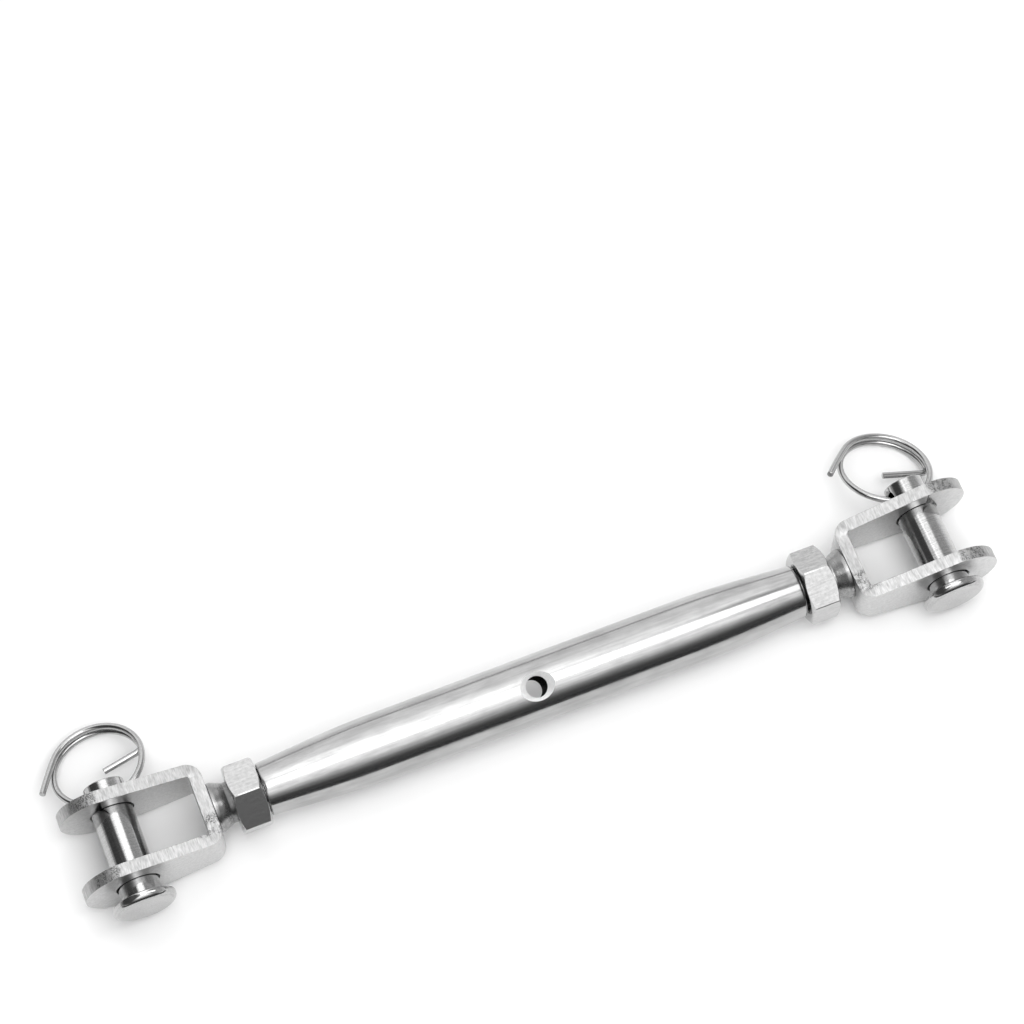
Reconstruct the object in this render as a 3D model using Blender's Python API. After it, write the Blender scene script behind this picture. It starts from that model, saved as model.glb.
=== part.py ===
"""Rigging turnbuckle, closed tubular body with a fork at each end.

A swaged stainless tube carries a right-hand thread in one end and a left-hand
thread in the other. A threaded stud runs into each end and carries a forked
strap jaw, with a thin lock nut between jaw and tube. A flat-headed clevis pin
crosses each jaw and is held by a split cotter ring through its far end.
Lengths are in millimetres here and are written to the scene in metres.
"""

import math

import bmesh
import bpy
from mathutils import Vector

MM = 0.001

# Overall layout, turnbuckle fully closed and lying on the edges of its jaws
PIN_X = 83.1
CENTRE_X = 0.76
AXIS_Y = -6.77
AXIS_Z = 8.1

# Strap jaw
JAW_GAP = 11.9
STRAP_T = 2.5
EAR_SPLAY = math.radians(1.2)
EAR_HALF = 8.1
EAR_TIP_SHIFT = 2.2
JAW_DEPTH = 15.5
BASE_HALF = 4.9
OUTER_BEND = 3.0
INNER_BEND = 0.45
EAR_MID = 7.0
TIP_STEPS = 12
BEND_STEPS = 6
PIN_HOLE_R = 4.3
SPIGOT_HOLE_R = 2.8

# Threaded stud
STUD_R = 4.0
SPIGOT_R = 2.5
SHOULDER_R = 4.9
SHOULDER_LEN = 0.7
FLARE_LEN = 2.2
STUD_INNER_END = 6.0
STUD_CHAMFER = 0.8
ASSEMBLY_GAP = 0.3

# Lock nut
NUT_OUTER = 21.75
NUT_THICK = 6.0
NUT_FLATS = 12.9
NUT_CHAMFER = math.radians(30.0)
NUT_FACE_INSET = 0.05
THREAD_BORE_R = 4.3
LEFT_NUT_TURN = math.radians(42.6)
RIGHT_NUT_TURN = math.radians(27.6)

# Tubular body
BARREL_HALF = 55.05
BARREL_R = 6.5
BARREL_END_R = 5.2
SWAGE_LEN = 24.0
SWAGE_EASE = 1.15
SWAGE_STEPS = 10
BORE_R = 4.9
BORE_STEP_START = 34.0
BORE_STEP_END = 38.0
END_CHAMFER = 0.35
TOMMY_HOLE_R = 2.1
TOMMY_SINK = 1.2
TOMMY_ANGLE = math.radians(105.6)

# Clevis pin
PIN_R = 4.0
HEAD_R = 6.15
HEAD_T = 1.8
HEAD_ROUND = 1.3
HEAD_EDGE = 0.25
PIN_LEN = 25.8
PIN_CHAMFER = 0.25
RING_HOLE_R = 1.4
RING_HOLE_SINK = 0.4
RING_HOLE_FROM_END = 2.5
LEFT_HOLE_Y = 9.45
RIGHT_HOLE_Y = 10.45
LEFT_PIN_SPIN = math.radians(6.0)
RIGHT_PIN_SPIN = math.radians(-16.0)

# Split cotter ring
WIRE_R = 0.63
RING_R = 8.95
RING_SAG = 0.7
COIL_PITCH = 1.6
LEFT_RING_TILT = math.radians(-22.2)
RIGHT_RING_TILT = math.radians(-20.4)
LEG_START = 0.0
LEG_BEND = 1.1
LEG_BEND_NEAR = 0.35
LEG_BEND_OUT = 0.18
TAIL_START = math.radians(505.0)
LEFT_TAIL_LEN = 8.0
RIGHT_TAIL_LEN = 8.8
TAIL_POINTS = 4
TAIL_CURL = 0.1
COIL_STEP = math.radians(9.0)
LEFT_RING_TURN = math.radians(4.0)
RIGHT_RING_TURN = math.radians(-17.0)
LEFT_RING_SLIDE = 0.0
RIGHT_RING_SLIDE = -0.3
LEFT_LEG_END = (0.6, -1.0)
RIGHT_LEG_END = (-0.4, -0.5)

ROUND_STEPS = 48
PIN_STEPS = 40
HOLE_STEPS = 28
CURVE_STEPS = 5
TOOL_REACH = 2.0
TINY = 1e-6
SHARP = math.radians(28.0)
WIRE_STEPS = 8


def clear_scene():
    for item in list(bpy.data.objects):
        bpy.data.objects.remove(item, do_unlink=True)


def steel(name, tone, rough):
    mat = bpy.data.materials.new(name)
    mat.use_nodes = True
    shader = mat.node_tree.nodes["Principled BSDF"]
    shader.inputs["Base Color"].default_value = (tone, tone, tone, 1.0)
    shader.inputs["Metallic"].default_value = 1.0
    shader.inputs["Roughness"].default_value = rough
    return mat


def make_object(name, bm, mat, origin):
    """Write a mesh given in world millimetres, with its origin at a point."""
    shift = Vector(origin)
    for vert in bm.verts:
        vert.co = (vert.co - shift) * MM
    bmesh.ops.recalc_face_normals(bm, faces=bm.faces)
    mesh = bpy.data.meshes.new(name)
    bm.to_mesh(mesh)
    bm.free()
    mesh.shade_smooth()
    mesh.set_sharp_from_angle(angle=SHARP)
    item = bpy.data.objects.new(name, mesh)
    item.location = shift * MM
    bpy.context.collection.objects.link(item)
    mesh.materials.append(mat)
    return item


def revolve(profile, steps, direction, centre):
    """Turn an (along, radius) outline about an axis through a point.

    An outline that begins and ends on the axis makes a solid body; one that
    stays off the axis is closed on itself and makes a hollow body.
    """
    bm = bmesh.new()
    origin = Vector(centre)
    along = Vector(direction)
    side = along.orthogonal().normalized()
    other = along.cross(side)
    rings = []
    for dist, radius in profile:
        spot = origin + along * dist
        if radius < TINY:
            rings.append([bm.verts.new(spot)])
            continue
        ring = []
        for k in range(steps):
            turn = 2.0 * math.pi * k / steps
            spoke = side * math.cos(turn) + other * math.sin(turn)
            ring.append(bm.verts.new(spot + spoke * radius))
        rings.append(ring)
    pairs = list(zip(rings, rings[1:]))
    if len(rings[0]) > 1:
        pairs.append((rings[-1], rings[0]))
    for first, second in pairs:
        for k in range(steps):
            n = (k + 1) % steps
            if len(first) == 1:
                bm.faces.new((first[0], second[k], second[n]))
            elif len(second) == 1:
                bm.faces.new((first[k], second[0], first[n]))
            else:
                bm.faces.new((first[k], second[k], second[n], first[n]))
    return bm


def apply_boolean(item, cutters, operation):
    """Combine an object with tool bodies and keep only the finished mesh."""
    for tool in cutters:
        step = item.modifiers.new("cut", "BOOLEAN")
        step.operation = operation
        step.solver = "EXACT"
        step.object = tool
        tool.hide_render = True
        tool.display_type = "WIRE"
    bpy.context.view_layer.update()
    graph = bpy.context.evaluated_depsgraph_get()
    finished = bpy.data.meshes.new_from_object(item.evaluated_get(graph))
    item.modifiers.clear()
    finished.shade_smooth()
    finished.set_sharp_from_angle(angle=SHARP)
    finished.name = item.name
    item.data = finished
    for tool in cutters:
        bpy.data.objects.remove(tool, do_unlink=True)
    return item


def swage_radius(from_end):
    """Outside radius of the body at a distance from its end."""
    ease = math.sin(math.pi / 2.0 * from_end / SWAGE_LEN) ** SWAGE_EASE
    return BARREL_END_R + (BARREL_R - BARREL_END_R) * ease


def crossing_hole(radius, body_radius, sink):
    """Outline of a hole right through a round body, sunk at both mouths."""
    reach = body_radius + TOOL_REACH
    neck = body_radius - sink
    flare = radius + sink + TOOL_REACH
    return [
        (-reach, 0.0),
        (-reach, flare),
        (-neck, radius),
        (neck, radius),
        (reach, flare),
        (reach, 0.0),
    ]


def build_barrel(mat):
    half = [(-BARREL_HALF, BARREL_END_R - END_CHAMFER)]
    half.append((-BARREL_HALF + END_CHAMFER, swage_radius(END_CHAMFER)))
    for k in range(1, SWAGE_STEPS + 1):
        dist = SWAGE_LEN * k / SWAGE_STEPS
        half.append((-BARREL_HALF + dist, swage_radius(dist)))
    outline = half + [(-d, r) for d, r in reversed(half)]
    outline.append((BARREL_HALF, THREAD_BORE_R))
    outline.append((BORE_STEP_END, THREAD_BORE_R))
    outline.append((BORE_STEP_START, BORE_R))
    outline.append((-BORE_STEP_START, BORE_R))
    outline.append((-BORE_STEP_END, THREAD_BORE_R))
    outline.append((-BARREL_HALF, THREAD_BORE_R))
    centre = (CENTRE_X, AXIS_Y, AXIS_Z)
    bm = revolve(outline, ROUND_STEPS, (1.0, 0.0, 0.0), centre)
    item = make_object("barrel", bm, mat, centre)
    across = (0.0, math.cos(TOMMY_ANGLE), math.sin(TOMMY_ANGLE))
    hole = crossing_hole(TOMMY_HOLE_R, BARREL_R, TOMMY_SINK)
    tool = make_object("tommy_tool", revolve(hole, HOLE_STEPS, across, centre), mat, centre)
    return apply_boolean(item, [tool], "DIFFERENCE")


def tip_arc_end():
    """Angle on the rounded tip where the straight taper to the base begins."""
    run = JAW_DEPTH + STRAP_T + EAR_TIP_SHIFT
    return math.atan2(BASE_HALF, run) + math.acos(EAR_HALF / math.hypot(run, BASE_HALF))


def tip_point(turn):
    """Distance towards the base and half width at an angle on the tip."""
    return EAR_HALF * math.cos(turn) - EAR_TIP_SHIFT, EAR_HALF * math.sin(turn)


def taper_half(a):
    """Half width of the straight taper at a distance from the pin."""
    start, top = tip_point(tip_arc_end())
    end = JAW_DEPTH + STRAP_T
    return top + (BASE_HALF - top) * (a - start) / (end - start)


def strap_stations():
    """Matching outer and inner points of one ear, tip first, to mid base."""
    slope = math.tan(EAR_SPLAY)
    rows = [(-EAR_HALF - EAR_TIP_SHIFT, 0.0)]
    for k in range(1, TIP_STEPS + 1):
        rows.append(tip_point(math.pi + (tip_arc_end() - math.pi) * k / TIP_STEPS))
    rows.append((EAR_MID, taper_half(EAR_MID)))
    stations = []
    for a, half in rows:
        inner = JAW_GAP / 2.0 + slope * (JAW_DEPTH - a)
        stations.append(((a, inner + STRAP_T), (a, inner), half))
    out_c = (JAW_DEPTH + STRAP_T - OUTER_BEND, JAW_GAP / 2.0 + STRAP_T - OUTER_BEND)
    in_c = (JAW_DEPTH - INNER_BEND, JAW_GAP / 2.0 - INNER_BEND)
    for k in range(BEND_STEPS + 1):
        turn = math.pi / 2.0 * (1.0 - k / BEND_STEPS)
        cos_t = math.cos(turn)
        sin_t = math.sin(turn)
        outer = (out_c[0] + OUTER_BEND * cos_t, out_c[1] + OUTER_BEND * sin_t)
        inner = (in_c[0] + INNER_BEND * cos_t, in_c[1] + INNER_BEND * sin_t)
        stations.append((outer, inner, taper_half(outer[0])))
    return stations


def strap_solid(path, place):
    """Skin a bent strip from matching outer and inner edges."""
    bm = bmesh.new()
    rows = []
    for outer, inner, half in path:
        if half < TINY:
            rows.append([bm.verts.new(place(outer, 0.0)), bm.verts.new(place(inner, 0.0))])
            continue
        corners = ((outer, half), (outer, -half), (inner, -half), (inner, half))
        rows.append([bm.verts.new(place(point, z)) for point, z in corners])
    for first, second in zip(rows, rows[1:]):
        if len(first) == 2:
            first = [first[0], first[0], first[1], first[1]]
        if len(second) == 2:
            second = [second[0], second[0], second[1], second[1]]
        for k in range(4):
            n = (k + 1) % 4
            loop = dict.fromkeys((first[k], second[k], second[n], first[n]))
            if len(loop) > 2:
                bm.faces.new(list(loop))
    bmesh.ops.triangulate(bm, faces=[f for f in bm.faces if len(f.verts) == 4])
    return bm


def build_strap(name, side, mat):
    """side is -1 for the left jaw and +1 for the right jaw."""
    one_ear = strap_stations()
    path = list(one_ear)
    for outer, inner, half in reversed(one_ear):
        path.append(((outer[0], -outer[1]), (inner[0], -inner[1]), half))
    pin_x = CENTRE_X + side * PIN_X

    def place(point, z):
        return (pin_x - side * point[0], AXIS_Y + point[1], AXIS_Z + z)

    origin = (pin_x, AXIS_Y, AXIS_Z)
    item = make_object(name, strap_solid(path, place), mat, origin)
    far = JAW_GAP + STRAP_T
    drill = [(-far, 0.0), (-far, PIN_HOLE_R), (far, PIN_HOLE_R), (far, 0.0)]
    pin_tool = revolve(drill, PIN_STEPS, (0.0, 1.0, 0.0), origin)
    base = (pin_x - side * (JAW_DEPTH + STRAP_T / 2.0), AXIS_Y, AXIS_Z)
    drill = [(-STRAP_T, 0.0), (-STRAP_T, SPIGOT_HOLE_R), (STRAP_T, SPIGOT_HOLE_R), (STRAP_T, 0.0)]
    spigot_tool = revolve(drill, HOLE_STEPS, (1.0, 0.0, 0.0), base)
    tools = [
        make_object("pin_tool", pin_tool, mat, origin),
        make_object("spigot_tool", spigot_tool, mat, origin),
    ]
    return apply_boolean(item, tools, "DIFFERENCE")


def build_stud(name, side, mat):
    shoulder = JAW_DEPTH + STRAP_T + ASSEMBLY_GAP
    outline = [(JAW_DEPTH, 0.0), (JAW_DEPTH, SPIGOT_R), (shoulder, SPIGOT_R)]
    outline.append((shoulder, SHOULDER_R))
    outline.append((shoulder + SHOULDER_LEN, SHOULDER_R))
    for k in range(1, CURVE_STEPS + 1):
        turn = math.pi / 2.0 * k / CURVE_STEPS
        dist = shoulder + SHOULDER_LEN + FLARE_LEN * math.sin(turn)
        radius = STUD_R + (SHOULDER_R - STUD_R) * (1.0 - math.sin(turn))
        outline.append((dist, radius))
    tip = PIN_X - STUD_INNER_END
    outline.append((tip - STUD_CHAMFER, STUD_R))
    outline.append((tip, STUD_R - STUD_CHAMFER))
    outline.append((tip, 0.0))
    pin_x = CENTRE_X + side * PIN_X
    bm = revolve(outline, PIN_STEPS, (-side, 0.0, 0.0), (pin_x, AXIS_Y, AXIS_Z))
    return make_object(name, bm, mat, (pin_x, AXIS_Y, AXIS_Z))


def build_nut(name, side, turn, mat):
    centre_x = CENTRE_X + side * (PIN_X - NUT_OUTER - NUT_THICK / 2.0)
    centre = (centre_x, AXIS_Y, AXIS_Z)
    corner = NUT_FLATS / 2.0 / math.cos(math.pi / 6.0)
    half = NUT_THICK / 2.0
    prism = bmesh.new()
    ends = []
    for dist in (-half, half):
        ring = []
        for k in range(6):
            phi = turn + math.pi / 3.0 * k
            y = AXIS_Y + corner * math.cos(phi)
            z = AXIS_Z + corner * math.sin(phi)
            ring.append(prism.verts.new((centre_x + dist, y, z)))
        ends.append(ring)
    for k in range(6):
        n = (k + 1) % 6
        prism.faces.new((ends[0][k], ends[1][k], ends[1][n], ends[0][n]))
    prism.faces.new(ends[0])
    prism.faces.new(ends[1])
    item = make_object(name, prism, mat, centre)
    face_r = NUT_FLATS / 2.0 - NUT_FACE_INSET
    wide = corner + TOOL_REACH
    run = (wide - face_r) * math.tan(NUT_CHAMFER)
    outline = [
        (-half, THREAD_BORE_R),
        (-half, face_r),
        (-half + run, wide),
        (half - run, wide),
        (half, face_r),
        (half, THREAD_BORE_R),
    ]
    shell = revolve(outline, ROUND_STEPS, (1.0, 0.0, 0.0), centre)
    tool = make_object("nut_tool", shell, mat, centre)
    return apply_boolean(item, [tool], "INTERSECT")


def build_pin(name, side, hole_y, spin, mat):
    pin_x = CENTRE_X + side * PIN_X
    end_y = hole_y + RING_HOLE_FROM_END
    front = end_y - PIN_LEN
    outline = [(front, 0.0), (front, HEAD_R - HEAD_ROUND)]
    for k in range(1, CURVE_STEPS + 1):
        turn = math.pi / 2.0 * k / CURVE_STEPS
        dist = front + HEAD_ROUND * (1.0 - math.cos(turn))
        radius = HEAD_R - HEAD_ROUND + HEAD_ROUND * math.sin(turn)
        outline.append((dist, radius))
    outline.append((front + HEAD_T - HEAD_EDGE, HEAD_R))
    outline.append((front + HEAD_T, HEAD_R - HEAD_EDGE))
    outline.append((front + HEAD_T, PIN_R))
    outline.append((end_y - PIN_CHAMFER, PIN_R))
    outline.append((end_y, PIN_R - PIN_CHAMFER))
    outline.append((end_y, 0.0))
    centre = (pin_x, AXIS_Y, AXIS_Z)
    bm = revolve(outline, PIN_STEPS, (0.0, 1.0, 0.0), centre)
    item = make_object(name, bm, mat, centre)
    hole = crossing_hole(RING_HOLE_R, PIN_R, RING_HOLE_SINK)
    at = (pin_x, AXIS_Y + hole_y, AXIS_Z)
    across = (math.cos(spin), 0.0, math.sin(spin))
    tool = make_object("hole_tool", revolve(hole, HOLE_STEPS, across, at), mat, at)
    return apply_boolean(item, [tool], "DIFFERENCE")


def ring_path(turn, leg_end, tail_len):
    """Points (u, v, n) of the wire centre in the plane of the ring.

    The coil runs from the turned-in leg, under the ring and through the pin
    hole at the bottom, and over the top again to the free tail.
    """
    hole = 1.5 * math.pi - turn

    def on_coil(phi):
        return Vector((RING_R * math.cos(phi), RING_R * math.sin(phi)))

    def lifted(spot, phi):
        return Vector((spot.x, spot.y, COIL_PITCH * (phi - hole) / (2.0 * math.pi)))

    corner = on_coil(LEG_START)
    leg = Vector(leg_end)
    toward = (leg - corner).normalized()
    bend = corner + toward * LEG_BEND_NEAR + Vector((0.0, LEG_BEND_OUT))
    points = [lifted(leg, LEG_START)]
    points.append(lifted(corner + toward * LEG_BEND, LEG_START))
    points.append(lifted(bend, LEG_START))
    count = round((TAIL_START - LEG_START) / COIL_STEP)
    for k in range(1, count + 1):
        phi = LEG_START + (TAIL_START - LEG_START) * k / count
        points.append(lifted(on_coil(phi), phi))
    last = on_coil(TAIL_START)
    inward = -last.normalized()
    heading = Vector((inward.y, -inward.x))
    for k in range(1, TAIL_POINTS + 1):
        run = tail_len * k / TAIL_POINTS
        curl = TAIL_CURL * run * run / (2.0 * RING_R)
        points.append(lifted(last + heading * run + inward * curl, TAIL_START))
    rolled = []
    for u, v, n in points:
        ru = u * math.cos(turn) - v * math.sin(turn)
        rv = u * math.sin(turn) + v * math.cos(turn)
        rolled.append(Vector((ru, rv, n)))
    return rolled


def sweep(points, radius, steps):
    """A round wire with flat ends along a smooth path."""
    bm = bmesh.new()
    rings = []
    normal = Vector((0.0, 0.0, 1.0))
    for k, point in enumerate(points):
        before = points[max(k - 1, 0)]
        after = points[min(k + 1, len(points) - 1)]
        tangent = (after - before).normalized()
        normal = (normal - tangent * normal.dot(tangent)).normalized()
        side = tangent.cross(normal)
        ring = []
        for m in range(steps):
            turn = 2.0 * math.pi * (m + 0.5) / steps
            spoke = normal * math.cos(turn) + side * math.sin(turn)
            ring.append(bm.verts.new(point + spoke * radius))
        rings.append(ring)
    for first, second in zip(rings, rings[1:]):
        for m in range(steps):
            n = (m + 1) % steps
            bm.faces.new((first[m], second[m], second[n], first[n]))
    bm.faces.new(rings[0])
    bm.faces.new(rings[-1])
    return bm


def build_ring(name, side, hole_y, spin, tilt, shape, mat):
    turn, slide, leg_end, tail_len = shape
    pin_x = CENTRE_X + side * PIN_X
    hole = Vector((pin_x, AXIS_Y + hole_y, AXIS_Z))
    across = Vector((math.cos(spin), 0.0, math.sin(spin)))
    raised = Vector((-math.sin(spin), 0.0, math.cos(spin)))
    outward = Vector((0.0, math.cos(tilt), 0.0)) + raised * math.sin(tilt)
    upward = across.cross(outward)
    path = []
    for spot in ring_path(turn, leg_end, tail_len):
        place = hole + across * (spot.x + slide) + outward * (spot.y + RING_R - RING_SAG)
        path.append(place + upward * spot.z)
    bm = sweep(path, WIRE_R, WIRE_STEPS)
    return make_object(name, bm, mat, hole)


clear_scene()
polished = steel("polished_steel", 0.62, 0.18)
satin = steel("satin_steel", 0.55, 0.34)
turned = steel("turned_steel", 0.58, 0.25)
spring = steel("spring_wire", 0.45, 0.22)

build_barrel(polished)
build_strap("left_jaw_strap", -1.0, satin)
build_strap("right_jaw_strap", 1.0, satin)
build_stud("left_stud", -1.0, turned)
build_stud("right_stud", 1.0, turned)
build_nut("left_lock_nut", -1.0, LEFT_NUT_TURN, turned)
build_nut("right_lock_nut", 1.0, RIGHT_NUT_TURN, turned)
build_pin("left_clevis_pin", -1.0, LEFT_HOLE_Y, LEFT_PIN_SPIN, polished)
build_pin("right_clevis_pin", 1.0, RIGHT_HOLE_Y, RIGHT_PIN_SPIN, polished)
left_shape = (LEFT_RING_TURN, LEFT_RING_SLIDE, LEFT_LEG_END, LEFT_TAIL_LEN)
right_shape = (RIGHT_RING_TURN, RIGHT_RING_SLIDE, RIGHT_LEG_END, RIGHT_TAIL_LEN)
build_ring(
    "left_cotter_ring", -1.0, LEFT_HOLE_Y, LEFT_PIN_SPIN, LEFT_RING_TILT, left_shape, spring
)
build_ring(
    "right_cotter_ring", 1.0, RIGHT_HOLE_Y, RIGHT_PIN_SPIN, RIGHT_RING_TILT, right_shape, spring
)
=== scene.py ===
"""Looks for the rigging turnbuckle: fine steel surfaces, studio light, camera."""

import math

import bmesh
import bpy
from mathutils import Matrix, Vector


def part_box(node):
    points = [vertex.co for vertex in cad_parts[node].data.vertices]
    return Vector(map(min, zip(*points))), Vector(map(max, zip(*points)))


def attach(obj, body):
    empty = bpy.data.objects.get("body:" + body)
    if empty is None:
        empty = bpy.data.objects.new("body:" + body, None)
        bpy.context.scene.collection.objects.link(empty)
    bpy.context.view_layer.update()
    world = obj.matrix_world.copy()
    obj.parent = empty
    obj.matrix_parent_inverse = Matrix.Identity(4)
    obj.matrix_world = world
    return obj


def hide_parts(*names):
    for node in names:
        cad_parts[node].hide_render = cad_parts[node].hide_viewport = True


MM = 0.001

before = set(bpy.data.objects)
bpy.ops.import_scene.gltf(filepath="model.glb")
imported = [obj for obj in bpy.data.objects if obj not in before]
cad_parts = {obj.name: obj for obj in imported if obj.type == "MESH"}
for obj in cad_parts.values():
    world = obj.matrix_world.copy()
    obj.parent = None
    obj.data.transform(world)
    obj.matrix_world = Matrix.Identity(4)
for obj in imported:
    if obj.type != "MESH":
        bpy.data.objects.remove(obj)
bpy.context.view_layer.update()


def middle(node):
    """Middle of a CAD node's box, in millimetres."""
    low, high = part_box(node)
    return (low + high) / 2.0 / MM


TUBE_LOW, TUBE_HIGH = (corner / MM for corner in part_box("barrel"))
AXIS = (TUBE_LOW + TUBE_HIGH) / 2.0
TUBE_HALF = (TUBE_HIGH.x - TUBE_LOW.x) / 2.0
PIN_X = (middle("right_clevis_pin").x - middle("left_clevis_pin").x) / 2.0
SIDES = (("left", -1.0), ("right", 1.0))

# Tube
TUBE_R = 6.5
TUBE_END_R = 5.2
SWAGE_LEN = 24.0
SWAGE_EASE = 1.15
SWAGE_STEPS = 40
TUBE_BORE_R = 4.9
THREAD_BORE_R = 4.25
BORE_STEP = (34.0, 38.0)
END_ROUND = 0.35
END_ARC = math.pi * 0.58
END_ARC_STEPS = 6
TOMMY_R = 2.1
TOMMY_SINK = 1.35
TOMMY_ANGLE = math.radians(105.6)
# Share of the hole's direction in the normal of its sunk edge, by which that
# edge, which gets the painted highlight, is told from the wall of the hole and from the tube.
SUNK_TILT = (0.6, 0.8)

# Strap jaw
JAW_GAP = 11.9
STRAP_T = 2.5
EAR_SPLAY = math.radians(1.2)
EAR_HALF = 8.1
EAR_TIP_SHIFT = 2.2
JAW_DEPTH = 15.5
BASE_HALF = 4.9
OUTER_BEND = 3.0
INNER_BEND = 0.45
TIP_STEPS = 44
BEND_STEPS = 18
PIN_HOLE_R = 4.3
SPIGOT_HOLE_R = 2.8
STRAP_EDGE = 0.14
STRAP_EDGE_FROM = math.radians(35.0)

# Threaded stud
STUD_R = 4.0
SPIGOT_R = 2.77
# The spigot's riveted end: (past the jaw's inner face, short of the radius).
SPIGOT_END = ((0.25, 1.1), (0.04, 0.55), (0.12, 0.1), (0.3, 0.0))
SHOULDER_R = 4.9
SHOULDER_LEN = 0.7
SHOULDER_ROUND = 0.12
FLARE_LEN = 2.2
FLARE_STEPS = 16
STUD_GAP = 0.02
STUD_INNER_END = 6.0
STUD_CHAMFER = 0.8
THREAD_PITCH = 1.25
THREAD_DEPTH = 0.68
THREAD_FROM = 22.3
# Share of the thread's depth at even steps along one pitch.
THREAD_FORM = (0.0, 0.05, 0.95, 1.0, 0.95, 0.05)
THREAD_ROW = len(THREAD_FORM)
THREAD_TURN_STEPS = 48

# Lock nut
NUT_OUTER = 21.75
NUT_THICK = 6.0
NUT_FLATS = 12.9
NUT_CHAMFER = math.radians(30.0)
NUT_FACE_INSET = 0.05
NUT_BORE_R = 4.12
NUT_SINK = 0.5
NUT_EDGE = 0.36
NUT_EDGE_STEPS = 5
NUT_RIM = 0.08
NUT_RIM_FROM = math.radians(20.0)
NUT_TURN = {"left": math.radians(42.6), "right": math.radians(27.6)}

# Clevis pin
PIN_R = 4.0
HEAD_R = 6.15
HEAD_T = 1.8
HEAD_ROUND = 1.3
HEAD_ROUND_STEPS = 14
HEAD_EDGE = 0.25
HEAD_EDGE_STEPS = 5
HEAD_FILLET = 0.2
PIN_END_ROUND = 0.25
PIN_END_STEPS = 8
RING_HOLE_R = 1.4
RING_HOLE_SINK = 0.4
RING_HOLE_FROM_END = 2.5
PIN_SPIN = {"left": math.radians(6.0), "right": math.radians(-16.0)}

# Cotter ring
WIRE_R = 0.63
RING_R = 8.95
RING_SAG = 0.7
COIL_PITCH = 1.6
RING_TILT = {"left": math.radians(-22.2), "right": math.radians(-20.4)}
RING_TURN = {"left": math.radians(4.0), "right": math.radians(-17.0)}
RING_SLIDE = {"left": 0.0, "right": -0.3}
LEG_END = {"left": (0.6, -1.0), "right": (-0.4, -0.5)}
LEG_BEND = 1.3
LEG_BEND_END = math.radians(9.0)
LEG_BEND_STEPS = 8
TAIL_START = math.radians(505.0)
TAIL_LEN = {"left": 8.0, "right": 8.8}
TAIL_CURL = 0.1
TAIL_STEPS = 12
COIL_STEP = math.radians(3.0)
WIRE_CROP = 0.08
WIRE_STEPS = 20

ROUND_STEPS = 160
PIN_STEPS = 112
HOLE_STEPS = 72
TOOL_REACH = 2.0
TINY = 1e-6
# Points closer than this are one, and faces smaller than this are dropped.
MERGE = 1e-4
SLIVER = 1e-9
SHARP = math.radians(24.0)
SAME_PLANE = math.radians(0.3)
EDGE_SEGMENTS = 2
FLAT_WEIGHT = 90

# Steel: where in the noise the tone and the roughness change, and how much
# fine noise each layer carries.
TONE_SPAN = (0.36, 0.64)
ROUGH_SPAN = (0.3, 0.7)
MARK_DETAIL = 5.0
MOTTLE_DETAIL = 3.0
NOISE_ROUGH = 0.55

# Dark speckled patches on the cut edges, near the ear tips and, as painted
# dark reflection, on one corner of the base: middle and half width, in
# millimetres, beyond the pin towards the tip, past the jaw's base, and across
# the base.
TIP_DARK_PATCH = (4.6, 2.6)
BASE_PAINTED_REFLECTION = (1.0, 3.0)
CORNER_PAINTED_REFLECTION = (-4.4, 2.2)
PATCH_SOFT = 0.5
RAG_SIZE = 900.0
RAG_SPAN = (0.38, 0.52)
DOT_SPAN = (0.44, 0.60)
PATCH_DETAIL = 2.0


# ---------------------------------------------------------------- materials


def new_material(name):
    mat = bpy.data.materials.new(name)
    mat.use_nodes = True
    return mat, mat.node_tree.nodes, mat.node_tree.links


def stretched_noise(nodes, links, scale, detail):
    """Noise on the piece's own coordinates, drawn out along some of them."""
    coord = nodes.new("ShaderNodeTexCoord")
    mapping = nodes.new("ShaderNodeMapping")
    mapping.inputs["Scale"].default_value = scale
    links.new(coord.outputs["Object"], mapping.inputs["Vector"])
    noise = nodes.new("ShaderNodeTexNoise")
    noise.inputs["Scale"].default_value = 1.0
    noise.inputs["Detail"].default_value = detail
    noise.inputs["Roughness"].default_value = NOISE_ROUGH
    links.new(mapping.outputs["Vector"], noise.inputs["Vector"])
    return noise.outputs["Fac"]


def fill_ramp(colour_ramp, stops):
    """Set the (position, grey) stops of a colour ramp, lowest first."""
    marks = colour_ramp.elements
    while len(marks) > 1:
        marks.remove(marks[-1])
    marks[0].position = stops[0][0]
    for place, grey in stops[1:]:
        marks.new(place)
    for mark, (place, grey) in zip(marks, stops):
        mark.color = (grey, grey, grey, 1.0)


def ramp(nodes, links, source, stops):
    """A grey ramp; stops are (position, grey)."""
    node = nodes.new("ShaderNodeValToRGB")
    fill_ramp(node.color_ramp, list(stops))
    links.new(source, node.inputs["Fac"])
    return node.outputs["Color"]


def blend(nodes, links, operation, *values):
    """The result of one Math node; each value is a socket or a number."""
    node = nodes.new("ShaderNodeMath")
    node.operation = operation
    for slot, value in zip(node.inputs, values):
        if isinstance(value, (int, float)):
            slot.default_value = value
        else:
            links.new(value, slot)
    return node.outputs[0]


def smooth_step(nodes, links, value, start, end):
    """0 at start and 1 at end, eased between them."""
    node = nodes.new("ShaderNodeMapRange")
    node.interpolation_type = "SMOOTHSTEP"
    node.inputs["From Min"].default_value = start
    node.inputs["From Max"].default_value = end
    links.new(value, node.inputs["Value"])
    return node.outputs["Result"]


def band(nodes, links, value, middle_at, half):
    """1 inside a band of a coordinate, falling softly to 0 outside it; millimetres."""
    off = blend(nodes, links, "ABSOLUTE", blend(nodes, links, "SUBTRACT", value, middle_at * MM))
    return smooth_step(nodes, links, off, (half + PATCH_SOFT) * MM, (half - PATCH_SOFT) * MM)


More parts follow.
